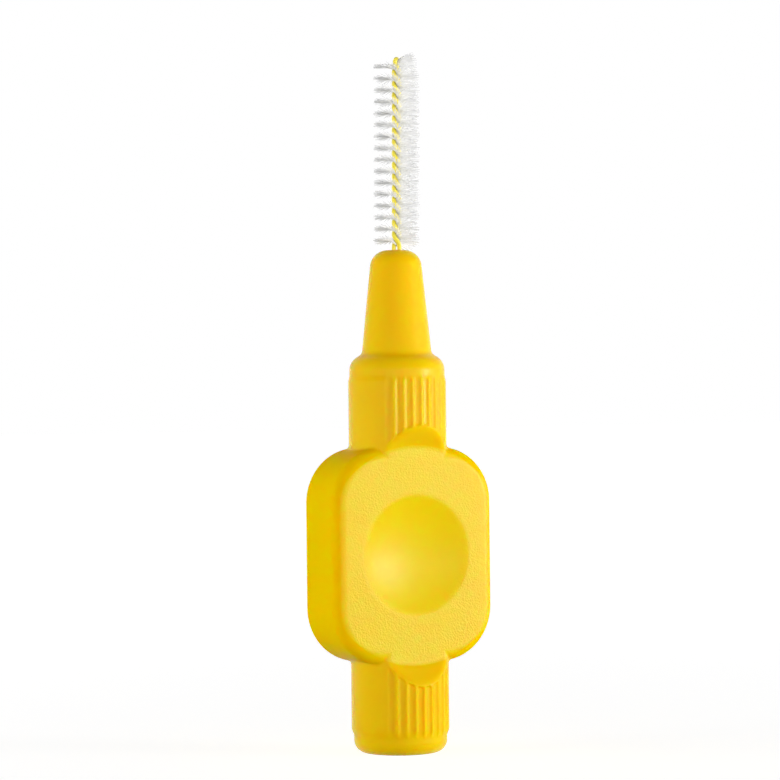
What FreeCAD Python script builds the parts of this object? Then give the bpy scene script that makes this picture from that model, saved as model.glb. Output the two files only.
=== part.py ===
import FreeCAD, Part
import math
import os

import Sketcher

# Interdental brush: a moulded grip, a coated wire bent double and twisted, and nylon filaments in its twist.
# Millimetres. Z runs from the flat end of the grip to the tip of the wire, and the front faces -Y.

DIMENSIONS = [
    ("end_band_radius", 3.96, "smooth band at the flat end of the grip"),
    ("end_band_length", 1.78, "from the flat end to the first ribbed sleeve"),
    ("end_round", 1.10, "rounded edge of the flat end"),
    ("sleeve_radius", 4.16, "crests of the grip ribs"),
    ("sleeve_length", 5.98, "ribbed sleeve, from its step to the thumb pad"),
    ("shoulder_band_radius", 4.00, "smooth band below the neck"),
    ("shoulder_band_length", 1.94, "from the second ribbed sleeve to the neck"),
    ("shoulder_round", 1.36, "rounded shoulder at the neck"),
    ("pad_width", 15.15, "thumb pad across"),
    ("pad_height", 18.11, "thumb pad along the axis"),
    ("pad_thickness", 6.00, "thumb pad from face to face"),
    ("pad_corner", 4.63, "corners of the pad's outline"),
    ("pad_edge_break", 0.50, "softened edges of the pad's faces"),
    ("tongue_length", 0.25, "how far the flat face runs past the pad's ends"),
    ("ramp_length", 1.39, "slope from the flat face out to the rib crests"),
    ("dish_diameter", 10.10, "thumb dish across"),
    ("dish_depth", 0.70, "thumb dish at its middle"),
    ("neck_length", 8.86, "neck above the shoulder"),
    ("neck_base_radius", 2.98, "neck where it meets the shoulder"),
    ("neck_tip_radius", 2.06, "neck at its tip, before rounding"),
    ("neck_tip_round", 1.30, "rounded tip of the neck"),
    ("flute_count", 8, "grooves on each side, which leave seven ribs"),
    ("flute_step", 11.0, "degrees from groove to groove"),
    ("flute_radius", 0.28, "rounding of a groove"),
    ("flute_depth", 0.18, "groove below the rib crests"),
    ("strand_diameter", 0.36, "coated wire"),
    ("strand_sides", 6, "flats round the coated wire"),
    ("lay_length", 1.964, "one full turn of the twist"),
    ("lay_run_in", 0.72, "length in which the twist starts at the neck"),
    ("lay_run_out", 0.50, "length in which the twist ends at the tip"),
    ("tail_length", 12.0, "straight wire ends inside the neck"),
    ("tail_angle", -30.0, "degrees from X to the line through the two wire ends"),
    ("socket_clearance", 0.01, "room round the wire ends"),
    ("row_count", 16, "rows of filaments, one to each half turn"),
    ("row_filaments", 11, "filaments in a row"),
    ("filament_diameter", 0.075, "one nylon filament"),
    ("filament_clearance", 0.02, "room between a filament and either strand"),
    ("filament_sides", 4, "flats round a filament"),
    ("brush_diameter", 4.00, "brush across the filament tips"),
    ("brush_start", 0.40, "lowest filament above the neck"),
]

TOUCHING = 1e-4
BOTH_SIDES = (-1, 1)


class Size:
    """A length that carries the sheet expression it comes from."""

    def __init__(self, value, text):
        self.value = value
        self.text = text

    def join(self, other, sign, value_of):
        other = other if isinstance(other, Size) else Size(other, repr(other))
        return Size(value_of(self.value, other.value), f"({self.text} {sign} {other.text})")

    def __add__(self, other):
        return self.join(other, "+", lambda a, b: a + b)

    def __sub__(self, other):
        return self.join(other, "-", lambda a, b: a - b)

    def __mul__(self, other):
        return self.join(other, "*", lambda a, b: a * b)

    def __truediv__(self, other):
        return self.join(other, "/", lambda a, b: a / b)

    def __neg__(self):
        return Size(-self.value, f"(-{self.text})")

    def root(self):
        return Size(math.sqrt(self.value), f"sqrt({self.text})")


class Sizes:
    """The driving dimensions by name, each bound to its cell in the sheet."""

    def __init__(self, sheet):
        for alias, _, _ in DIMENSIONS:
            setattr(self, alias, Size(float(getattr(sheet, alias)), f"{sheet.Name}.{alias}"))
        self.zero = Size(0.0, "0")
        self.pad_bottom = self.end_band_length + self.sleeve_length
        self.pad_middle = self.pad_bottom + self.pad_height / 2
        self.pad_top = self.pad_bottom + self.pad_height
        self.sleeve_top = self.pad_top + self.sleeve_length
        self.shoulder = self.sleeve_top + self.shoulder_band_length
        self.neck_tip = self.shoulder + self.neck_length
        self.face = self.pad_thickness / 2
        self.strand_gap = self.filament_diameter + self.filament_clearance * 2
        self.twist_radius = (self.strand_diameter + self.strand_gap) / 2


def make_sheet(doc):
    sheet = doc.addObject("Spreadsheet::Sheet", "dims")
    for row, (alias, value, note) in enumerate(DIMENSIONS, start=1):
        sheet.set(f"A{row}", alias)
        sheet.set(f"B{row}", str(value))
        sheet.setAlias(f"B{row}", alias)
        sheet.set(f"C{row}", note)
    doc.recompute()
    return sheet


def bind(item, setting, size):
    item.setExpression(setting, size.text)


def new_sketch(body, name, plane, height=None, turn=None):
    """A sketch on one of the body's own planes, raised along its normal and turned about it where asked."""
    sketch = body.newObject("Sketcher::SketchObject", name)
    support = next(item for item in body.Origin.OriginFeatures if item.Role == plane)
    sketch.AttachmentSupport = [(support, "")]
    sketch.MapMode = "FlatFace"
    if height is not None:
        bind(sketch, "AttachmentOffset.Base.z", height)
    if turn is not None:
        bind(sketch, "AttachmentOffset.Rotation.Angle", turn)
    return sketch


def hold(sketch, kind, geometry, point, size):
    """Fix a point's distance from the sketch's origin by an expression."""
    index = sketch.addConstraint(Sketcher.Constraint(kind, -1, 1, geometry, point, size.value))
    name = f"{kind}_{geometry}_{point}"
    sketch.renameConstraint(index, name)
    bind(sketch, f"Constraints.{name}", size)


def hold_radius(sketch, geometry, size):
    index = sketch.addConstraint(Sketcher.Constraint("Radius", geometry, size.value))
    name = f"radius_{geometry}"
    sketch.renameConstraint(index, name)
    bind(sketch, f"Constraints.{name}", size)


def draw_loop(sketch, corners):
    """A closed outline, anticlockwise, from corners (x, y).

    A corner from which an arc runs on also holds that arc's centre x, centre y and radius.
    """
    first = sketch.GeometryCount
    points = [FreeCAD.Vector(corner[0].value, corner[1].value, 0) for corner in corners]
    for corner, start, end in zip(corners, points, points[1:] + points[:1]):
        if len(corner) == 2:
            sketch.addGeometry(Part.LineSegment(start, end), False)
            continue
        centre = FreeCAD.Vector(corner[2].value, corner[3].value, 0)
        circle = Part.Circle(centre, FreeCAD.Vector(0, 0, 1), corner[4].value)
        from_angle = math.atan2(start.y - centre.y, start.x - centre.x)
        to_angle = math.atan2(end.y - centre.y, end.x - centre.x)
        sketch.addGeometry(Part.ArcOfCircle(circle, from_angle, to_angle), False)
    count = len(corners)
    for index, corner in enumerate(corners):
        geometry = first + index
        sketch.addConstraint(Sketcher.Constraint("Coincident", geometry, 2, first + (index + 1) % count, 1))
        hold(sketch, "DistanceX", geometry, 1, corner[0])
        hold(sketch, "DistanceY", geometry, 1, corner[1])
        if len(corner) > 2:
            hold_radius(sketch, geometry, corner[4])


def draw_circle(sketch, x, y, radius):
    centre = FreeCAD.Vector(x.value, y.value, 0)
    geometry = sketch.addGeometry(Part.Circle(centre, FreeCAD.Vector(0, 0, 1), radius.value), False)
    hold(sketch, "DistanceX", geometry, 3, x)
    hold(sketch, "DistanceY", geometry, 3, y)
    hold_radius(sketch, geometry, radius)


def dress_edges(body, name, kind, setting, size, wanted):
    """Soften those edges of the body's last feature for which wanted(edge) holds."""
    base = body.Tip
    edges = [f"Edge{number}" for number, edge in enumerate(base.Shape.Edges, start=1) if wanted(edge)]
    dressed = body.newObject(kind, name)
    dressed.Base = (base, edges)
    bind(dressed, setting, size)
    body.Document.recompute()


def add_pad(body, size):
    """The thumb pad: a rounded rectangle with softened edges."""
    sketch = new_sketch(body, "pad_outline", "XZ_Plane")
    side = size.pad_width / 2
    inner = side - size.pad_corner
    low = size.pad_bottom + size.pad_corner
    high = size.pad_top - size.pad_corner
    draw_loop(sketch, [
        (-inner, size.pad_bottom),
        (inner, size.pad_bottom, inner, low, size.pad_corner),
        (side, low),
        (side, high, inner, high, size.pad_corner),
        (inner, size.pad_top),
        (-inner, size.pad_top, -inner, high, size.pad_corner),
        (-side, high),
        (-side, low, -inner, low, size.pad_corner),
    ])
    pad = body.newObject("PartDesign::Pad", "pad")
    pad.Profile = sketch
    pad.SideType = "Symmetric"
    bind(pad, "Length", size.pad_thickness)
    body.Document.recompute()
    dress_edges(body, "pad_edges", "PartDesign::Chamfer", "Size", size.pad_edge_break,
                lambda edge: edge.BoundBox.YLength < TOUCHING)


def add_turned_form(body, size):
    """Stub, sleeves, shoulder and neck, turned about the axis."""
    sketch = new_sketch(body, "turned_outline", "XZ_Plane")
    end_inner = size.end_band_radius - size.end_round
    shoulder_inner = size.shoulder_band_radius - size.shoulder_round
    shoulder_start = size.shoulder - size.shoulder_round
    reach = size.neck_base_radius - shoulder_inner
    rise = (size.shoulder_round * size.shoulder_round - reach * reach).root()
    neck_base = shoulder_start + rise
    draw_loop(sketch, [
        (size.zero, size.zero),
        (end_inner, size.zero, end_inner, size.end_round, size.end_round),
        (size.end_band_radius, size.end_round),
        (size.end_band_radius, size.end_band_length),
        (size.sleeve_radius, size.end_band_length),
        (size.sleeve_radius, size.sleeve_top),
        (size.shoulder_band_radius, size.sleeve_top),
        (size.shoulder_band_radius, shoulder_start, shoulder_inner, shoulder_start, size.shoulder_round),
        (size.neck_base_radius, neck_base),
        (size.neck_tip_radius, size.neck_tip),
        (size.zero, size.neck_tip),
    ])
    turned = body.newObject("PartDesign::Revolution", "turned_form")
    turned.Profile = sketch
    turned.ReferenceAxis = (sketch, ["V_Axis"])
    body.Document.recompute()
    dress_edges(body, "neck_tip_edge", "PartDesign::Fillet", "Radius", size.neck_tip_round,
                lambda edge: edge.BoundBox.ZMin > size.neck_tip.value - TOUCHING)


def face_out(side):
    """The turn that points a primitive's own axis out of the front (-1) or back (1) face."""
    return FreeCAD.Rotation(FreeCAD.Vector(1, 0, 0), -90 * side)


def cut_faces(body, size):
    """Run the pad's flat faces a little way into both sleeves, with a conical ramp out to the ribs."""
    flat_radius = size.pad_height / 2 + size.tongue_length
    climb = size.sleeve_radius - size.face
    for side in BOTH_SIDES:
        cone = body.newObject("PartDesign::SubtractiveCone", "face_cut")
        cone.Placement.Rotation = face_out(side)
        bind(cone, "Radius1", flat_radius)
        bind(cone, "Radius2", flat_radius + size.ramp_length * 2)
        bind(cone, "Height", climb * 2)
        bind(cone, "Placement.Base.y", size.face * side)
        bind(cone, "Placement.Base.z", size.pad_middle)
        body.Document.recompute()


def cut_flutes(body, size):
    """Grooves that leave the grip ribs, on the front and back of both sleeves."""
    span = size.flute_step * (size.flute_count - 1)
    middle = size.sleeve_radius - size.flute_depth + size.flute_radius
    grooves = []
    for name, top in (("upper", size.sleeve_top), ("lower", size.pad_bottom)):
        sketch = new_sketch(body, f"{name}_flute_outline", "XY_Plane", height=top, turn=-span / 2)
        for side in BOTH_SIDES:
            draw_circle(sketch, size.zero, middle * side, size.flute_radius)
        groove = body.newObject("PartDesign::Pocket", f"{name}_flute")
        groove.Profile = sketch
        bind(groove, "Length", size.sleeve_length)
        body.Document.recompute()
        grooves.append(groove)
    pattern = body.newObject("PartDesign::PolarPattern", "flutes")
    pattern.Originals = grooves
    axis = next(item for item in body.Origin.OriginFeatures if item.Role == "Z_Axis")
    pattern.Axis = (axis, [""])
    bind(pattern, "Angle", span)
    bind(pattern, "Occurrences", size.flute_count)
    body.Tip = pattern
    body.Document.recompute()


def cut_dishes(body, size):
    """A shallow spherical thumb dish in each face of the pad."""
    rim = size.dish_diameter / 2
    radius = (rim * rim / size.dish_depth + size.dish_depth) / 2
    offset = size.face - size.dish_depth + radius
    for side in BOTH_SIDES:
        dish = body.newObject("PartDesign::SubtractiveSphere", "dish")
        bind(dish, "Radius", radius)
        bind(dish, "Placement.Base.y", offset * side)
        bind(dish, "Placement.Base.z", size.pad_middle)
        body.Document.recompute()


def cut_socket(body, size):
    """The two round holes that the moulding leaves round the wire's ends."""
    sketch = new_sketch(body, "socket_outline", "XY_Plane", height=size.neck_tip, turn=size.tail_angle)
    hole_radius = size.strand_diameter / 2 + size.socket_clearance
    for side in BOTH_SIDES:
        draw_circle(sketch, size.twist_radius * side, size.zero, hole_radius)
    socket = body.newObject("PartDesign::Pocket", "socket")
    socket.Profile = sketch
    bind(socket, "Length", size.tail_length + size.socket_clearance)
    body.Document.recompute()


def make_handle(doc, size):
    body = doc.addObject("PartDesign::Body", "handle")
    add_pad(body, size)
    add_turned_form(body, size)
    cut_faces(body, size)
    cut_flutes(body, size)
    cut_dishes(body, size)
    cut_socket(body, size)
    return body


class Twist:
    """Where the two strands lie: a left-hand twist that starts at the neck and dies out at the wire's tip."""

    def __init__(self, size):
        self.radius = size.twist_radius.value
        self.rate = -2 * math.pi / size.lay_length.value
        self.start_angle = math.radians(size.tail_angle.value)
        self.bottom = size.neck_tip.value
        self.filament_step = size.lay_length.value / 2 / size.row_filaments.value
        self.first_filament = self.bottom + size.brush_start.value
        filament_total = round(size.row_count.value * size.row_filaments.value)
        last_filament = self.first_filament + (filament_total - 1) * self.filament_step
        loop_inside = last_filament + size.filament_diameter.value / 2 + size.filament_clearance.value
        self.top = loop_inside - self.radius + size.strand_diameter.value / 2
        self.run_in = size.lay_run_in.value
        self.run_out = size.lay_run_out.value

    def angle(self, z):
        """Direction of the first strand at a height, and how fast it turns there."""
        run_in_end = self.bottom + self.run_in
        run_out_start = self.top - self.run_out
        full_turning = run_out_start - run_in_end
        if z < run_in_end:
            pace = (z - self.bottom) / self.run_in
            done = self.run_in * pace * pace / 2
        elif z > run_out_start:
            pace = (self.top - z) / self.run_out
            done = self.run_in / 2 + full_turning + self.run_out * (1 - pace * pace) / 2
        else:
            pace = 1
            done = self.run_in / 2 + z - run_in_end
        return self.start_angle + self.rate * done, self.rate * pace

    def point(self, z, half_turn):
        """A strand's middle and its direction at a height."""
        angle, turning = self.angle(z)
        angle += half_turn
        across = FreeCAD.Vector(math.cos(angle), math.sin(angle), 0) * self.radius
        along = FreeCAD.Vector(-across.y * turning, across.x * turning, 1).normalize()
        return across + FreeCAD.Vector(0, 0, z), along


def arc_from(start, direction, end):
    """The arc that leaves start in the given direction and reaches end, or a line where it is straight."""
    chord = (end - start).normalize()
    side = direction - chord * direction.dot(chord)
    if side.Length < 1e-7:
        return Part.LineSegment(start, end).toShape()
    half_bend = math.atan2(side.Length, direction.dot(chord))
    bulge = (end - start).Length / 2 * math.tan(half_bend / 2)
    middle = (start + end) * 0.5 + side.normalize() * bulge
    return Part.Arc(start, middle, end).toShape()


def biarc(start, start_along, end, end_along):
    """Two arcs that join two points, with the given directions at their ends."""
    chord = end - start
    spread = 2 * (1 - start_along.dot(end_along))
    reach = chord.dot(start_along + end_along)
    if spread < 1e-9:
        handle = chord.dot(chord) / (2 * reach)
    else:
        handle = (math.sqrt(reach * reach + spread * chord.dot(chord)) - reach) / spread
    joint = (start + end + (start_along - end_along) * handle) * 0.5
    first_chord = (joint - start).normalize()
    joint_along = first_chord * (2 * start_along.dot(first_chord)) - start_along
    return [arc_from(start, start_along, joint), arc_from(joint, joint_along, end)]


def strand_points(twist, half_turn):
    """Points a quarter turn apart up one strand."""
    quarter_turn = math.pi / 2 / abs(twist.rate)
    count = math.ceil((twist.top - twist.bottom) / quarter_turn)
    step = (twist.top - twist.bottom) / count
    return [twist.point(twist.bottom + step * index, half_turn) for index in range(count + 1)]


def wire_route(size, twist):
    """Up one strand, over the loop at the tip and down the other, with straight ends inside the neck."""
    up = strand_points(twist, 0)
    down = [(point, -along) for point, along in reversed(strand_points(twist, math.pi))]
    tail = FreeCAD.Vector(0, 0, size.tail_length.value)
    edges = [Part.LineSegment(up[0][0] - tail, up[0][0]).toShape()]
    for points in (up, down):
        if points is down:
            loop_top = FreeCAD.Vector(0, 0, twist.top + twist.radius)
            edges.append(Part.Arc(up[-1][0], loop_top, down[0][0]).toShape())
        for (start, start_along), (end, end_along) in zip(points, points[1:]):
            edges.extend(biarc(start, start_along, end, end_along))
    edges.append(Part.LineSegment(down[-1][0], down[-1][0] - tail).toShape())
    return Part.Wire(edges)


def make_wire(doc, size, twist):
    route = doc.addObject("Part::Feature", "wire_route")
    route.Shape = wire_route(size, twist)
    section = doc.addObject("Part::RegularPolygon", "wire_section")
    bind(section, "Circumradius", size.strand_diameter / 2)
    bind(section, "Polygon", size.strand_sides)
    section.Placement.Base = route.Shape.Vertexes[0].Point
    wire = doc.addObject("Part::Sweep", "twisted_wire")
    wire.Sections = [section]
    wire.Spine = (route, [f"Edge{number}" for number in range(1, len(route.Shape.Edges) + 1)])
    wire.Solid = True
    wire.Frenet = False
    return wire


def make_bristle_row(doc, size, twist, row):
    """The filaments of one half turn, each lying across the wire between its strands."""
    filaments = []
    per_row = round(size.row_filaments.value)
    for number in range(row * per_row, (row + 1) * per_row):
        height = twist.first_filament + number * twist.filament_step
        strand_angle, _ = twist.angle(height)
        filament = doc.addObject("Part::Prism", f"filament_{number + 1:03d}")
        bind(filament, "Polygon", size.filament_sides)
        bind(filament, "Circumradius", size.filament_diameter / 2)
        bind(filament, "Height", size.brush_diameter)
        lying = FreeCAD.Rotation(FreeCAD.Vector(0, 1, 0), 90)
        pointing = FreeCAD.Rotation(FreeCAD.Vector(0, 0, 1), math.degrees(strand_angle) + 90)
        turned = pointing.multiply(lying)
        start = turned.multVec(FreeCAD.Vector(0, 0, -size.brush_diameter.value / 2))
        filament.Placement = FreeCAD.Placement(start + FreeCAD.Vector(0, 0, height), turned)
        filaments.append(filament)
    compound = doc.addObject("Part::Compound", f"bristle_row_{row + 1:02d}")
    compound.Links = filaments
    return compound


def least_strand_gap(size, twist):
    """The least room between the strands, measured on points along both."""
    samples = 400
    heights = [twist.bottom + (twist.top - twist.bottom) * index / samples for index in range(samples + 1)]
    first = [twist.point(height, 0)[0] for height in heights]
    second = [twist.point(height, math.pi)[0] for height in heights]
    nearest = min((one - other).Length for one in first for other in second)
    return nearest - size.strand_diameter.value


def check(doc):
    for item in doc.Objects:
        if "Invalid" in item.State or "Error" in item.State:
            raise RuntimeError(f"{item.Label} did not build: {item.State}")


def export(nodes):
    os.makedirs("parts", exist_ok=True)
    for node in nodes:
        if node.Shape.isNull() or not node.Shape.isValid():
            raise RuntimeError(f"{node.Label} has no sound shape")
        node.Shape.exportStep(f"parts/{node.Label}.step")


def main():
    doc = FreeCAD.newDocument("interdental_brush")
    size = Sizes(make_sheet(doc))
    twist = Twist(size)
    nodes = [make_handle(doc, size), make_wire(doc, size, twist)]
    for row in range(round(size.row_count.value)):
        nodes.append(make_bristle_row(doc, size, twist, row))
    doc.recompute()
    check(doc)
    export(nodes)
    print(f"least gap between the strands {least_strand_gap(size, twist):.3f} mm")
    print(f"wire tip at {nodes[1].Shape.BoundBox.ZMax:.2f} mm")


main()
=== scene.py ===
import math
import random

import bpy
import numpy as np
from mathutils import Matrix, Vector


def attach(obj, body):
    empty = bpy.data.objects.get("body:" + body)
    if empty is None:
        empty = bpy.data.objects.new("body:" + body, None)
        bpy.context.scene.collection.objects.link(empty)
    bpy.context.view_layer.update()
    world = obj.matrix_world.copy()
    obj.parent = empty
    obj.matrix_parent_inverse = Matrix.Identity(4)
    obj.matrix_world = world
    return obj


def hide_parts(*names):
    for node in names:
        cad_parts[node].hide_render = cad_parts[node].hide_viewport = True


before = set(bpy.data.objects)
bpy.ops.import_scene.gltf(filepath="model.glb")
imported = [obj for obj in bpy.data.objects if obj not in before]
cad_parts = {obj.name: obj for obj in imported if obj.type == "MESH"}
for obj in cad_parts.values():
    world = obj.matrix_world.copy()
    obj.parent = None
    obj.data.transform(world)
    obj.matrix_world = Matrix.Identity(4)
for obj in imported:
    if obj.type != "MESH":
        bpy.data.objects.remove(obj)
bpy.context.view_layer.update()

# Interdental brush: a moulded grip, a wire twisted from two strands, and nylon filaments in its twist.
# Lengths are in millimetres until a mesh is made. Z runs up the wire, and the pad's front faces -Y.

MM = 0.001

# Grip
END_BAND_RADIUS = 3.96
END_ROUND = 1.10
SLEEVE_RADIUS = 4.16
SHOULDER_BAND_RADIUS = 4.05
SHOULDER_ROUND = 1.36
SHOULDER_Z = 33.79
LOWER_STEP = (1.40, 2.09)
UPPER_STEP = (31.42, 32.06)
PAD_HALF_WIDTH = 7.71
PAD_HALF_HEIGHT = 9.055
PAD_CORNER = 4.63
PAD_EDGE_ROUND = 1.05
PAD_MIDDLE_Z = 16.815
FACE_Y = 3.0
FLAT_RADIUS = 9.30
RAMP_LENGTH = 1.39
RAMP_SLOPE = (SLEEVE_RADIUS - FACE_Y) / RAMP_LENGTH
DISH_RIM_RADIUS = 5.05
DISH_DEPTH = 0.70
NECK_BASE_RADIUS = 2.98
NECK_TIP_RADIUS = 2.06
NECK_TIP_ROUND = 1.30
NECK_TIP_Z = 42.65
NECK_FOOT_Z = 32.5

# Grip ribs
RIB_STEP_DEG = 11.0
LAST_GROOVE_DEG = 38.5
PANEL_EDGE_DEG = 46.0
RIB_DEPTH = 0.15
RIB_SHARPNESS = 2.4
RIB_END_FADE = (0.20, 0.50)

# Soft joins between the grip's forms
LIP_BLEND = 0.28
RAMP_FOOT_BLEND = 0.35
DISH_RIM_BLEND = 0.10
NECK_BLEND = 0.35
PAD_BLEND = 0.30
PAD_BLEND_LEAST = 0.02
PAD_BLEND_FADE = 0.60

# Grip mesh
NET_STEP = (0.112, 0.112, 0.172)
NET_MARGIN = 0.3
NET_ROUNDS = 4
SETTLE_ROUNDS = 3
LEAST_STEEPNESS = 0.05
SLOPE_REACH = 0.01

# Wire
STRAND_RADIUS = 0.18
TWIST_RADIUS = 0.2375
LAY_LENGTH = 1.964
LAY_RUN_IN = 0.72
LAY_RUN_OUT = 0.50
TAIL_ANGLE = math.radians(-30)
TAIL_LENGTH = 3.0
WIRE_TOP_Z = 58.66
STRAND_SIDES = 14
STRAND_POINTS_PER_TURN = 28
LOOP_POINTS = 14

# Filaments
ROW_COUNT = 16
ROW_FILAMENTS = 72
FILAMENT_RADIUS = 0.026
FILAMENT_END_SHARE = 0.6
FILAMENT_LAYER = 0.030
FILAMENT_LENGTH = 2.0
FILAMENT_POINTS = 11
FILAMENT_SIDES = 5
FILAMENT_SWEEP = math.radians(18)
BRUSH_START_Z = 43.005
BRUSH_LEAN = math.radians(0.6)
BRUSH_SHIFT = 0.08

# Filaments at the wire's tip
CROWN_Z = (57.7, WIRE_TOP_Z)
CROWN_RISE = 0.62
CROWN_TRIM = 0.2
LAST_LEFT_ROW_Z = (58.32, 58.55)

# How uneven the filaments are
SEED = 11
ANGLE_SPREAD = 0.03
LENGTH_SPREAD = 0.04
TILT_SPREAD = 0.05
BOW_SPREAD = 0.03
SIDE_SPREAD = 0.05

# Finish of every piece: the part of a noise that is spread over a range
CLOUD = (0.3, 0.7)

# Grip finish
GRIP_TINTS = ((0.838, 0.555, 0.0, 1), (0.858, 0.580, 0.0, 1))
# The pad's faces and dishes get lighter, more lemon tints: painted sheen standing in for the light those
# faces catch
FACE_PAINTED_SHEEN_TINTS = ((0.818, 0.605, 0.0, 1), (0.838, 0.630, 0.0, 1))
TURNED_SHEEN = 0.06
WALL_SHEEN = 0.002
FACE_SHEEN = 0.19
DISH_SHEEN = 0.09
GRIP_ROUGHNESS = (0.22, 0.27)
FACE_ROUGHER_BY = 0.13
DISH_ROUGHER_BY = 0.07
WALL_FADE = (0.05, 0.25)
FACE_FADE = (0.22, 0.01)
ZONE_FADE = 0.1
GRIP_CLOUD_SIZE = 3.5
GRAIN_SIZE = 0.14
SKIN_SIZE = 0.5
SKIN_SHARE = 0.25
GRAIN_STRENGTH = 0.42
GRAIN_HEIGHT = 0.04
GRIP_SUBSURFACE = 0.9
GRIP_SUBSURFACE_RADIUS = (1.0, 0.12, 0.02)
GRIP_SUBSURFACE_DEPTH = 3.0

# Wire finish
WIRE_TINTS = ((0.80, 0.66, 0.045, 1), (0.88, 0.76, 0.07, 1))
WIRE_ROUGHNESS = (0.28, 0.40)
WIRE_CLOUD_SIZE = 0.4
WIRE_BUMP_SIZE = 0.08
WIRE_BUMP_STRENGTH = 0.3
WIRE_BUMP_HEIGHT = 0.01

# Filament finish
FILAMENT_TINTS = ((0.78, 0.78, 0.78, 1), (0.82, 0.82, 0.82, 1))
FILAMENT_ROUGHNESS = (0.30, 0.45)
FILAMENT_CLOUD_SIZE = 0.3
FILAMENT_IOR = 1.53
FILAMENT_OPACITY = 0.5
FILAMENT_SHADOW = 0.03

# Camera, from the photo's frame
IMAGE_PX = 780
PX_MM = 0.085
CAMERA_DISTANCE = 280.0
CAMERA_CLIP = 10.0
CAMERA_AZIMUTH = math.radians(-30)
CAMERA_ROLL = math.radians(-0.6)
CAMERA_RIGHT = Vector((math.cos(CAMERA_AZIMUTH), math.sin(CAMERA_AZIMUTH), 0))
CAMERA_BACK = Vector((math.sin(CAMERA_AZIMUTH), -math.cos(CAMERA_AZIMUTH), 0))
AXIS_PX_X = 397.1
END_PX_Y = 752.0
SENSOR_MM = 36.0

# Light tent: strengths of its low band round the object, and the shares of them at the right and left
TENT_FRONT = 10.5
TENT_SIDE = 18.5
TENT_FLANK = 3.0
TENT_FLANK_FACING = -0.5
TENT_REAR = 12.0
TENT_REAR_FACING = -0.7
TENT_CEILING = 0.05
TENT_BAND = 0.16
TENT_RIGHT_SHARE = 0.80
TENT_LEFT_SHARE = 0.25

# Lamps
LAMP_DISTANCE = 420.0
LAMP_AIM_Z = 28.0

# Floor
FLOOR_TINTS = ((0.68, 0.68, 0.68, 1), (0.70, 0.70, 0.70, 1))
FLOOR_CLOUD_SIZE = 40.0
FLOOR_GLOW = (0.84, 0.96)
FLOOR_GLOW_REACH = (20.0, 300.0)
FLOOR_HALF_WIDTH = 2000.0


def smooth_min(a, b, blend):
    """The lesser of two distances, with the edge between them rounded over about the blend's length."""
    overlap = np.maximum(blend - np.abs(a - b), 0.0) / blend
    return np.minimum(a, b) - overlap * overlap * blend / 4


def smooth_max(a, b, blend):
    return -smooth_min(-a, -b, blend)


def smooth_step(low, high, value):
    share = np.clip((value - low) / (high - low), 0.0, 1.0)
    return share * share * (3 - 2 * share)


def rounded_corner(a, b, radius):
    """Distance to the corner of two faces with a true round of the given radius."""
    a = a + radius
    b = b + radius
    outside = np.hypot(np.maximum(a, 0.0), np.maximum(b, 0.0))
    return outside + np.minimum(np.maximum(a, b), 0.0) - radius


def face_cut(x, y, z):
    """Height above the pad's flat face and above the conical ramps at its ends."""
    from_middle = np.hypot(x, z - PAD_MIDDLE_Z)
    ramp = smooth_max((from_middle - FLAT_RADIUS) * RAMP_SLOPE, 0.0, RAMP_FOOT_BLEND)
    return np.abs(y) - FACE_Y - ramp


def sleeve_radius(x, y, z, cut):
    """Radius of the bands and ribbed sleeves, with soft steps and grooves that die out before each lip."""
    lower = smooth_step(*LOWER_STEP, z)
    upper = smooth_step(*UPPER_STEP, z)
    radius = END_BAND_RADIUS + (SLEEVE_RADIUS - END_BAND_RADIUS) * lower
    radius = radius + (SHOULDER_BAND_RADIUS - SLEEVE_RADIUS) * upper
    from_normal = np.degrees(np.arctan2(np.abs(x), np.abs(y)))
    crest = (0.5 + 0.5 * np.cos(2 * np.pi * from_normal / RIB_STEP_DEG)) ** RIB_SHARPNESS
    panel = smooth_step(LAST_GROOVE_DEG, PANEL_EDGE_DEG, from_normal)
    groove = 1 - np.where(from_normal < LAST_GROOVE_DEG, crest, panel)
    fade = smooth_step(*RIB_END_FADE, -cut) * lower * (1 - upper)
    return radius - RIB_DEPTH * groove * fade


def grip_distance(x, y, z):
    """Signed distance to the grip's surface, below zero inside."""
    from_axis = np.hypot(x, y)
    cut = face_cut(x, y, z)

    wall = from_axis - sleeve_radius(x, y, z, cut)
    lower_end = rounded_corner(wall, -z, END_ROUND)
    upper_end = rounded_corner(wall, z - SHOULDER_Z, SHOULDER_ROUND)
    turned = np.where(z < PAD_MIDDLE_Z, lower_end, upper_end)
    turned = smooth_max(turned, cut, LIP_BLEND)

    taper = (NECK_BASE_RADIUS - NECK_TIP_RADIUS) / (NECK_TIP_Z - SHOULDER_Z)
    cone = (from_axis - NECK_TIP_RADIUS - taper * (NECK_TIP_Z - z)) / math.hypot(1, taper)
    neck = rounded_corner(cone, z - NECK_TIP_Z, NECK_TIP_ROUND)
    neck = np.maximum(neck, NECK_FOOT_Z - z)
    turned = smooth_min(turned, neck, NECK_BLEND)

    side = np.abs(x) - PAD_HALF_WIDTH
    end = np.abs(z - PAD_MIDDLE_Z) - PAD_HALF_HEIGHT
    outline = rounded_corner(side, end, PAD_CORNER)
    pad = rounded_corner(outline, np.abs(y) - FACE_Y, PAD_EDGE_ROUND)

    pad_blend = PAD_BLEND * np.clip((FACE_Y - np.abs(y)) / PAD_BLEND_FADE, PAD_BLEND_LEAST, 1.0)
    grip = smooth_min(pad, turned, pad_blend)

    dish_radius = (DISH_RIM_RADIUS ** 2 / DISH_DEPTH + DISH_DEPTH) / 2
    dish_y = FACE_Y - DISH_DEPTH + dish_radius
    dish = np.sqrt(x * x + (np.abs(y) - dish_y) ** 2 + (z - PAD_MIDDLE_Z) ** 2) - dish_radius
    return smooth_max(grip, -dish, DISH_RIM_BLEND)


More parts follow.
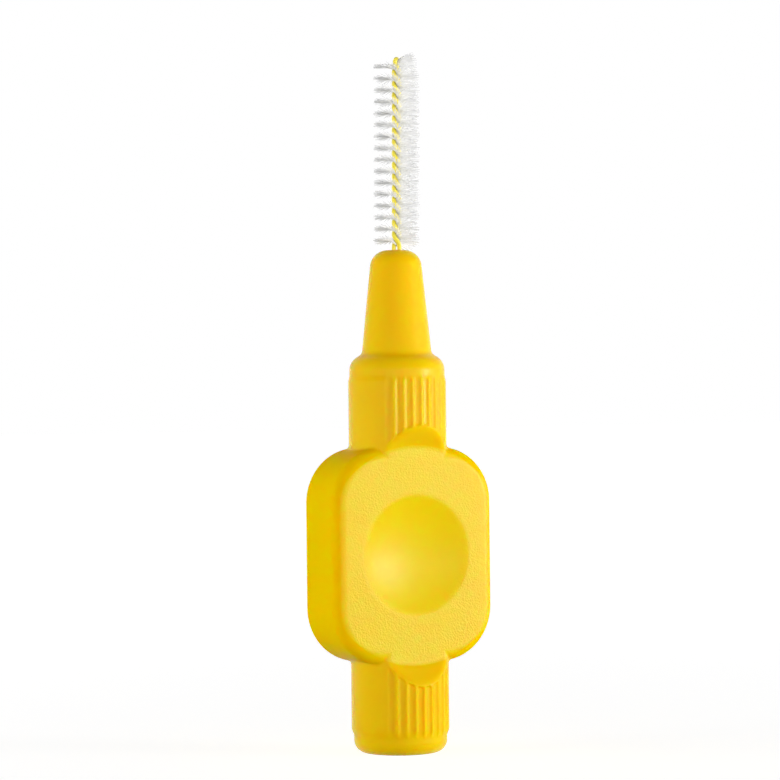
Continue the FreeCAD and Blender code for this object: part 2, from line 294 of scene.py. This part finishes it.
def gradient(distance, points):
    """How the distance changes along each axis at the points."""
    slopes = []
    for axis in range(3):
        shift = np.zeros(3)
        shift[axis] = SLOPE_REACH
        ahead = distance(*(points + shift).T)
        behind = distance(*(points - shift).T)
        slopes.append((ahead - behind) / (2 * SLOPE_REACH))
    return np.stack(slopes, axis=1)


def settle(distance, points):
    """Move points straight onto the zero level of a distance."""
    for _ in range(SETTLE_ROUNDS):
        slope = gradient(distance, points)
        steepness = np.maximum((slope * slope).sum(axis=1), LEAST_STEEPNESS)
        points = points - slope * (distance(*points.T) / steepness)[:, None]
    return points


def even_out(points, quads):
    """Move each point to the mean of its neighbours along the quads' edges."""
    edges = np.concatenate([quads[:, [side, (side + 1) % 4]] for side in range(4)])
    total = np.zeros_like(points)
    count = np.zeros(len(points))
    for one, other in ((0, 1), (1, 0)):
        np.add.at(total, edges[:, one], points[edges[:, other]])
        np.add.at(count, edges[:, one], 1)
    return total / count[:, None]


def surface_net(distance, low, high, step):
    """A net of quads on the zero level of a distance, with a point in each grid cell that it crosses."""
    axes = [np.arange(a, b + pace, pace) for a, b, pace in zip(low, high, step)]
    grid = np.meshgrid(*axes, indexing="ij", sparse=True)
    inside = distance(*grid) < 0
    corners = [inside[i:i + inside.shape[0] - 1, j:j + inside.shape[1] - 1, k:k + inside.shape[2] - 1]
               for i in (0, 1) for j in (0, 1) for k in (0, 1)]
    inside_count = np.sum(corners, axis=0, dtype=np.int8)
    crossed = (inside_count > 0) & (inside_count < 8)
    cell_number = np.cumsum(crossed).reshape(crossed.shape) - 1
    points = np.array(low) + (np.argwhere(crossed) + 0.5) * np.array(step)

    quads = []
    for axis in range(3):
        first, second = ((1, 2), (2, 0), (0, 1))[axis]
        turned = np.moveaxis(inside, (axis, first, second), (0, 1, 2))
        numbers = np.moveaxis(cell_number, (axis, first, second), (0, 1, 2))
        start = turned[:-1, 1:-1, 1:-1]
        end = turned[1:, 1:-1, 1:-1]
        ring = [numbers[:, :-1, :-1], numbers[:, 1:, :-1], numbers[:, 1:, 1:], numbers[:, :-1, 1:]]
        around = np.stack(ring, axis=-1)
        quads.append(around[start & ~end])
        quads.append(around[~start & end][:, ::-1])
    quads = np.concatenate(quads)

    points = settle(distance, points)
    for _ in range(NET_ROUNDS):
        points = settle(distance, even_out(points, quads))
    return points, quads


def twist_angle(z):
    """Direction of the first strand at a height, in a left-hand twist from the neck to the wire's tip."""
    run_in_end = NECK_TIP_Z + LAY_RUN_IN
    run_out_start = WIRE_TOP_Z - LAY_RUN_OUT
    if z < run_in_end:
        pace = max(z - NECK_TIP_Z, 0.0) / LAY_RUN_IN
        done = LAY_RUN_IN * pace * pace / 2
    elif z > run_out_start:
        pace = (WIRE_TOP_Z - z) / LAY_RUN_OUT
        done = LAY_RUN_IN / 2 + run_out_start - run_in_end + LAY_RUN_OUT * (1 - pace * pace) / 2
    else:
        done = LAY_RUN_IN / 2 + z - run_in_end
    return TAIL_ANGLE - 2 * math.pi * done / LAY_LENGTH


def tube(path, radii, sides):
    """Rings of points round a path, and the faces between them, closed at both ends."""
    path = np.asarray(path, dtype=float)
    along = np.gradient(path, axis=0)
    along /= np.linalg.norm(along, axis=1)[:, None]
    least = np.eye(3)[np.argmin(np.abs(along[0]))]
    across = np.cross(along[0], least)
    across /= np.linalg.norm(across)
    turn = 2 * np.pi * np.arange(sides) / sides
    points = []
    for centre, direction, radius in zip(path, along, radii):
        across = across - direction * across.dot(direction)
        across /= np.linalg.norm(across)
        upright = np.cross(direction, across)
        points.extend(centre + radius * (np.cos(a) * across + np.sin(a) * upright) for a in turn)
    faces = []
    for ring in range(len(path) - 1):
        for side in range(sides):
            low = ring * sides + side
            next_low = ring * sides + (side + 1) % sides
            faces.append((low, next_low, next_low + sides, low + sides))
    faces.append(tuple(reversed(range(sides))))
    last_ring = (len(path) - 1) * sides
    faces.append(tuple(range(last_ring, last_ring + sides)))
    return points, faces


def strand_path(half_turn):
    """Points up one strand, from inside the neck to the foot of the loop at the tip."""
    height = WIRE_TOP_Z - NECK_TIP_Z
    count = round(height / LAY_LENGTH * STRAND_POINTS_PER_TURN)
    heights = [NECK_TIP_Z - TAIL_LENGTH] + [NECK_TIP_Z + height * step / count for step in range(count + 1)]
    path = []
    for z in heights:
        angle = twist_angle(z) + half_turn
        path.append((TWIST_RADIUS * math.cos(angle), TWIST_RADIUS * math.sin(angle), z))
    return path


def wire_path():
    """Up one strand, over the loop at the tip and down the other."""
    up = strand_path(0.0)
    down = strand_path(math.pi)
    angle = twist_angle(WIRE_TOP_Z)
    loop = []
    for step in range(1, LOOP_POINTS):
        turn = math.pi * step / LOOP_POINTS
        reach = TWIST_RADIUS * math.cos(turn)
        z = WIRE_TOP_Z + TWIST_RADIUS * math.sin(turn)
        loop.append((reach * math.cos(angle), reach * math.sin(angle), z))
    return up + loop + down[::-1]


def filament_end(z, rightward, towards, chance):
    """Reach, tilt, bow, sideways drift and crown of one end of a filament.

    An end that points to the camera tilts up, and one that points away tilts down. At the wire's tip the
    ends on the right rise to a crown, and those on the left stop after the last row.
    """
    crown = float(smooth_step(*CROWN_Z, z))
    trim = float(smooth_step(*LAST_LEFT_ROW_Z, z))
    reach = FILAMENT_LENGTH * (1 - trim * max(0.0, -rightward)) * (1 - abs(chance.gauss(0, LENGTH_SPREAD)))
    reach *= 1 - crown * CROWN_TRIM * max(0.0, rightward)
    tilt = chance.gauss(0, TILT_SPREAD) + (1 - crown) * FILAMENT_SWEEP * towards
    bow = chance.gauss(0, BOW_SPREAD)
    sideways = chance.gauss(0, SIDE_SPREAD)
    return reach, tilt, bow, sideways, crown * CROWN_RISE * max(0.0, rightward)


def filament(z, layer, chance):
    """One filament across the wire between its strands, with its ends a little uneven, as a tube."""
    angle = twist_angle(z) + math.pi / 2 + chance.gauss(0, ANGLE_SPREAD)
    direction = Vector((math.cos(angle), math.sin(angle), 0))
    ends = {}
    for end in (-1, 1):
        rightward = end * direction.dot(CAMERA_RIGHT)
        towards = end * direction.dot(CAMERA_BACK)
        ends[end] = filament_end(z, rightward, towards, chance)
    path = []
    for step in range(FILAMENT_POINTS):
        share = 2 * step / (FILAMENT_POINTS - 1) - 1
        reach, tilt, bow, sideways, crest = ends[-1 if share < 0 else 1]
        out = share * reach * math.cos(tilt)
        rise = abs(share) * reach * math.sin(tilt) + bow * share * share
        rise += crest * (1 - (1 - abs(share)) ** 3)
        aside = layer * FILAMENT_LAYER + sideways * share * share
        x = out * math.cos(angle) - aside * math.sin(angle)
        y = out * math.sin(angle) + aside * math.cos(angle)
        path.append((x, y, z + rise))
    end_radius = FILAMENT_RADIUS * FILAMENT_END_SHARE
    radii = [end_radius] + [FILAMENT_RADIUS] * (FILAMENT_POINTS - 2) + [end_radius]
    return tube(path, radii, FILAMENT_SIDES)


def add_mesh(name, points, faces, material, slot, *nodes):
    """A smooth mesh in the row's frame, which rides on the root and stands for the named nodes."""
    mesh = bpy.data.meshes.new(name)
    mesh.from_pydata((np.asarray(points) * MM).tolist(), [], [list(map(int, face)) for face in faces])
    mesh.shade_smooth()
    mesh.materials.append(material)
    piece = bpy.data.objects.new(name, mesh)
    bpy.context.scene.collection.objects.link(piece)
    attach(piece, "root")
    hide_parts(*nodes)
    return piece


class Nodes:
    """Short ways to add shader nodes to one material or world."""

    def __init__(self, tree):
        self.tree = tree
        tree.nodes.clear()

    def add(self, kind, inputs=None, **settings):
        node = self.tree.nodes.new(kind)
        for name, value in settings.items():
            setattr(node, name, value)
        for name, value in (inputs or {}).items():
            if isinstance(value, bpy.types.NodeSocket):
                self.tree.links.new(value, node.inputs[name])
            else:
                node.inputs[name].default_value = value
        return node

    def place(self):
        """Where a point lies on its piece, in metres."""
        return self.add("ShaderNodeTexCoord").outputs["Object"]

    def math(self, operation, first, second=0.0):
        return self.add("ShaderNodeMath", {0: first, 1: second}, operation=operation).outputs[0]

    def vector(self, operation, first, second=(0, 0, 0)):
        return self.add("ShaderNodeVectorMath", {0: first, 1: second}, operation=operation).outputs

    def noise(self, place, size_mm, detail=2.0):
        scale = 1 / (size_mm * MM)
        inputs = {"Vector": place, "Scale": scale, "Detail": detail}
        return self.add("ShaderNodeTexNoise", inputs).outputs["Fac"]

    def spread(self, value, from_low, from_high, low, high):
        inputs = {"Value": value, "From Min": from_low, "From Max": from_high, "To Min": low, "To Max": high}
        return self.add("ShaderNodeMapRange", inputs).outputs["Result"]

    def between(self, value, first, second):
        """A colour between two, by a value from 0 to 1."""
        mix = self.add("ShaderNodeMix", {"Factor": value, "A": first, "B": second}, data_type="RGBA")
        return mix.outputs["Result"]

    def bump(self, height, strength, height_mm):
        inputs = {"Height": height, "Strength": strength, "Distance": height_mm * MM}
        return self.add("ShaderNodeBump", inputs).outputs["Normal"]

    def surface(self, inputs):
        """A plain surface shader with these inputs, as the material's output."""
        shader = self.add("ShaderNodeBsdfPrincipled", inputs)
        self.add("ShaderNodeOutputMaterial", {"Surface": shader.outputs["BSDF"]})


def new_material(name):
    material = bpy.data.materials.new(name)
    material.use_nodes = True
    return material, Nodes(material.node_tree)


def grip_material():
    """Satin yellow polypropylene, smooth on its turned forms and finely grained on the pad's flat faces; a
    lighter tint on the faces and dishes is painted sheen.
    """
    material, nodes = new_material("grip_plastic")
    place = nodes.place()
    depth = nodes.math("ABSOLUTE", nodes.add("ShaderNodeSeparateXYZ", {"Vector": place}).outputs["Y"])
    in_plane = nodes.vector("MULTIPLY", place, (1, 0, 1))["Vector"]
    from_middle = nodes.vector("DISTANCE", in_plane, (0, 0, PAD_MIDDLE_Z * MM))["Value"]
    in_section = nodes.vector("MULTIPLY", place, (1, 1, 0))["Vector"]
    from_axis = nodes.vector("LENGTH", in_section)["Value"]

    dish = nodes.spread(from_middle, DISH_RIM_RADIUS * MM, (DISH_RIM_RADIUS + ZONE_FADE) * MM, 1.0, 0.0)
    pad = nodes.spread(from_middle, (FLAT_RADIUS - ZONE_FADE) * MM, FLAT_RADIUS * MM, 1.0, 0.0)
    face_start, face_end = ((FACE_Y - fade) * MM for fade in FACE_FADE)
    flat = nodes.math("MULTIPLY", nodes.spread(depth, face_start, face_end, 0.0, 1.0), pad)
    face = nodes.math("MAXIMUM", flat, dish)

    wall_start, wall_end = ((SLEEVE_RADIUS + fade) * MM for fade in WALL_FADE)
    side_sheen = nodes.spread(from_axis, wall_start, wall_end, TURNED_SHEEN, WALL_SHEEN)
    face_sheen = nodes.spread(dish, 0.0, 1.0, FACE_SHEEN, DISH_SHEEN)
    sheen = nodes.spread(face, 0.0, 1.0, side_sheen, face_sheen)

    cloud = nodes.noise(place, GRIP_CLOUD_SIZE, 3.0)
    # Painted sheen: the pad's faces and dishes take the lighter tints over the plastic's own yellow
    colour = nodes.between(face, nodes.between(cloud, *GRIP_TINTS), nodes.between(cloud, *FACE_PAINTED_SHEEN_TINTS))
    face_rougher_by = nodes.spread(dish, 0.0, 1.0, FACE_ROUGHER_BY, DISH_ROUGHER_BY)
    rougher_by = nodes.spread(face, 0.0, 1.0, 0.0, face_rougher_by)
    roughness = nodes.math("ADD", nodes.spread(cloud, *CLOUD, *GRIP_ROUGHNESS), rougher_by)

    speckle = nodes.noise(place, GRAIN_SIZE, 3.0)
    grain = nodes.math("MULTIPLY", nodes.spread(speckle, *CLOUD, 0.0, 1.0), flat)
    skin = nodes.math("MULTIPLY", nodes.noise(place, SKIN_SIZE), SKIN_SHARE)
    nodes.surface({
        "Base Color": colour,
        "Roughness": roughness,
        "Normal": nodes.bump(nodes.math("ADD", grain, skin), GRAIN_STRENGTH, GRAIN_HEIGHT),
        "Specular IOR Level": sheen,
        "Subsurface Weight": GRIP_SUBSURFACE,
        "Subsurface Radius": GRIP_SUBSURFACE_RADIUS,
        "Subsurface Scale": GRIP_SUBSURFACE_DEPTH * MM,
    })
    return material


def wire_material():
    """Lemon plastic coat on the wire, a little uneven in gloss."""
    material, nodes = new_material("wire_coat")
    place = nodes.place()
    cloud = nodes.noise(place, WIRE_CLOUD_SIZE, 3.0)
    nodes.surface({
        "Base Color": nodes.between(cloud, *WIRE_TINTS),
        "Roughness": nodes.spread(cloud, *CLOUD, *WIRE_ROUGHNESS),
        "Normal": nodes.bump(nodes.noise(place, WIRE_BUMP_SIZE), WIRE_BUMP_STRENGTH, WIRE_BUMP_HEIGHT),
    })
    return material


def filament_material():
    """Translucent white nylon, a little cloudy, that lets most of the light through to what is behind it."""
    material, nodes = new_material("filament")
    cloud = nodes.noise(nodes.place(), FILAMENT_CLOUD_SIZE)
    shadow = nodes.add("ShaderNodeLightPath").outputs["Is Shadow Ray"]
    nodes.surface({
        "Base Color": nodes.between(cloud, *FILAMENT_TINTS),
        "Roughness": nodes.spread(cloud, *CLOUD, *FILAMENT_ROUGHNESS),
        "IOR": FILAMENT_IOR,
        "Alpha": nodes.spread(shadow, 0.0, 1.0, FILAMENT_OPACITY, FILAMENT_SHADOW),
    })
    return material


def seen_directly(nodes):
    """1 for rays that show the background itself, and 0 for those that only carry light."""
    path = nodes.add("ShaderNodeLightPath")
    seen = nodes.math("MAXIMUM", path.outputs["Is Camera Ray"], path.outputs["Is Glossy Ray"])
    return nodes.math("MAXIMUM", seen, path.outputs["Is Transmission Ray"])


def add_floor():
    """A pale floor that shows white, with the object's soft shadow on it."""
    material, nodes = new_material("floor")
    place = nodes.place()
    colour = nodes.between(nodes.noise(place, FLOOR_CLOUD_SIZE), *FLOOR_TINTS)
    diffuse = nodes.add("ShaderNodeBsdfDiffuse", {"Color": colour})
    near, far = (reach * MM for reach in FLOOR_GLOW_REACH)
    level = nodes.spread(nodes.vector("LENGTH", place)["Value"], near, far, *FLOOR_GLOW)
    glow = nodes.add("ShaderNodeEmission", {"Strength": nodes.math("MULTIPLY", seen_directly(nodes), level)})
    both = nodes.add("ShaderNodeAddShader", {0: diffuse.outputs[0], 1: glow.outputs[0]})
    nodes.add("ShaderNodeOutputMaterial", {"Surface": both.outputs[0]})
    half = FLOOR_HALF_WIDTH * MM
    corners = [(-half, -half, 0), (half, -half, 0), (half, half, 0), (-half, half, 0)]
    mesh = bpy.data.meshes.new("floor")
    mesh.from_pydata(corners, [], [(0, 1, 2, 3)])
    mesh.materials.append(material)
    floor = bpy.data.objects.new("floor", mesh)
    bpy.context.scene.collection.objects.link(floor)


def add_world():
    """A light tent that shows as plain white, with an uneven low band and little light above it."""
    world = bpy.data.worlds.new("room")
    world.use_nodes = True
    bpy.context.scene.world = world
    nodes = Nodes(world.node_tree)
    direction = nodes.add("ShaderNodeTexCoord").outputs["Generated"]
    rise = nodes.math("ABSOLUTE", nodes.add("ShaderNodeSeparateXYZ", {"Vector": direction}).outputs["Z"])
    facing = nodes.vector("DOT_PRODUCT", direction, CAMERA_BACK)["Value"]
    front = nodes.spread(facing, 0.0, 1.0, TENT_SIDE, TENT_FRONT)
    flank = nodes.spread(facing, TENT_FLANK_FACING, 0.0, TENT_FLANK, TENT_SIDE)
    rear = nodes.spread(facing, -1.0, TENT_REAR_FACING, TENT_REAR, 0.0)
    round_about = nodes.math("MAXIMUM", nodes.math("MINIMUM", front, flank), rear)
    leftward = nodes.vector("DOT_PRODUCT", direction, -CAMERA_RIGHT)["Value"]
    right_share = nodes.spread(leftward, -1.0, 0.0, TENT_RIGHT_SHARE, 1.0)
    left_share = nodes.spread(leftward, 0.0, 1.0, 1.0, TENT_LEFT_SHARE)
    share = nodes.math("MINIMUM", right_share, left_share)
    band = nodes.math("MULTIPLY", round_about, share)
    tent = nodes.spread(rise, 0.0, TENT_BAND, band, TENT_CEILING)
    strength = nodes.spread(seen_directly(nodes), 0.0, 1.0, tent, 1.0)
    room = nodes.add("ShaderNodeBackground", {"Color": (1, 1, 1, 1), "Strength": strength})
    nodes.add("ShaderNodeOutputWorld", {"Surface": room.outputs[0]})


def add_lamp(name, side_angle, rise_angle, width, height, power, mirrored):
    """A soft box aimed at the grip, placed by its angles to the right of the camera and above it."""
    data = bpy.data.lights.new(name, "AREA")
    data.shape = "RECTANGLE"
    data.energy = power
    data.size = width * MM
    data.size_y = height * MM
    lamp = bpy.data.objects.new(name, data)
    bpy.context.scene.collection.objects.link(lamp)
    turn = CAMERA_AZIMUTH + math.radians(side_angle)
    rise = math.radians(rise_angle)
    aim = Vector((0, 0, LAMP_AIM_Z * MM))
    towards = Vector((math.sin(turn) * math.cos(rise), -math.cos(turn) * math.cos(rise), math.sin(rise)))
    lamp.location = aim + towards * LAMP_DISTANCE * MM
    lamp.rotation_euler = towards.to_track_quat("Z", "Y").to_euler()
    lamp.visible_glossy = mirrored


def add_camera():
    data = bpy.data.cameras.new("camera")
    camera = bpy.data.objects.new("camera", data)
    bpy.context.scene.collection.objects.link(camera)
    data.sensor_width = SENSOR_MM
    data.lens = SENSOR_MM * CAMERA_DISTANCE / (IMAGE_PX * PX_MM)
    data.clip_start = CAMERA_CLIP * MM
    height = (END_PX_Y - IMAGE_PX / 2) * PX_MM
    shift = (IMAGE_PX / 2 - AXIS_PX_X) * PX_MM
    place = (CAMERA_BACK * CAMERA_DISTANCE + CAMERA_RIGHT * shift + Vector((0, 0, height))) * MM
    turn = Matrix((CAMERA_RIGHT, Vector((0, 0, 1)), CAMERA_BACK)).transposed().to_4x4()
    camera.matrix_world = Matrix.Translation(place) @ turn @ Matrix.Rotation(CAMERA_ROLL, 4, "Z")
    bpy.context.scene.camera = camera


def add_grip():
    low = (-PAD_HALF_WIDTH - NET_MARGIN, -SLEEVE_RADIUS - NET_MARGIN, -NET_MARGIN)
    high = (PAD_HALF_WIDTH + NET_MARGIN, SLEEVE_RADIUS + NET_MARGIN, NECK_TIP_Z + NET_MARGIN)
    points, quads = surface_net(grip_distance, low, high, NET_STEP)
    grip = add_mesh("grip", points, quads, grip_material(), "grip_plastic", "handle")
    normals = gradient(grip_distance, points)
    normals /= np.linalg.norm(normals, axis=1)[:, None]
    grip.data.normals_split_custom_set_from_vertices(normals.tolist())


def lean(points):
    """The brush leans a little to one side of the neck."""
    points = np.asarray(points)
    rise = np.maximum(points[:, 2] - NECK_TIP_Z, 0.0)
    shift = BRUSH_SHIFT + rise * math.tan(BRUSH_LEAN)
    return points + shift[:, None] * np.array(CAMERA_RIGHT)


def add_wire():
    path = wire_path()
    points, faces = tube(path, [STRAND_RADIUS] * len(path), STRAND_SIDES)
    add_mesh("coated_wire", lean(points), faces, wire_material(), "wire_coat", "twisted_wire")


def add_filaments():
    material = filament_material()
    chance = random.Random(SEED)
    for row in range(ROW_COUNT):
        points = []
        faces = []
        for number in range(ROW_FILAMENTS):
            z = BRUSH_START_Z + (row + (number + 0.5) / ROW_FILAMENTS) * LAY_LENGTH / 2
            more_points, more_faces = filament(z, 1 if number % 2 else -1, chance)
            faces.extend(tuple(index + len(points) for index in face) for face in more_faces)
            points.extend(more_points)
        name = f"{row + 1:02d}"
        add_mesh(f"filaments_{name}", lean(points), faces, material, "filament", f"bristle_row_{name}")


bpy.context.scene.view_settings.view_transform = "Standard"
add_camera()
add_world()
add_floor()
add_lamp("key_right", side_angle=75, rise_angle=-1.5, width=120, height=90, power=1.35, mirrored=True)
add_lamp("fill_left", side_angle=-78, rise_angle=0, width=330, height=134, power=1.3, mirrored=False)
add_grip()
add_wire()
add_filaments()
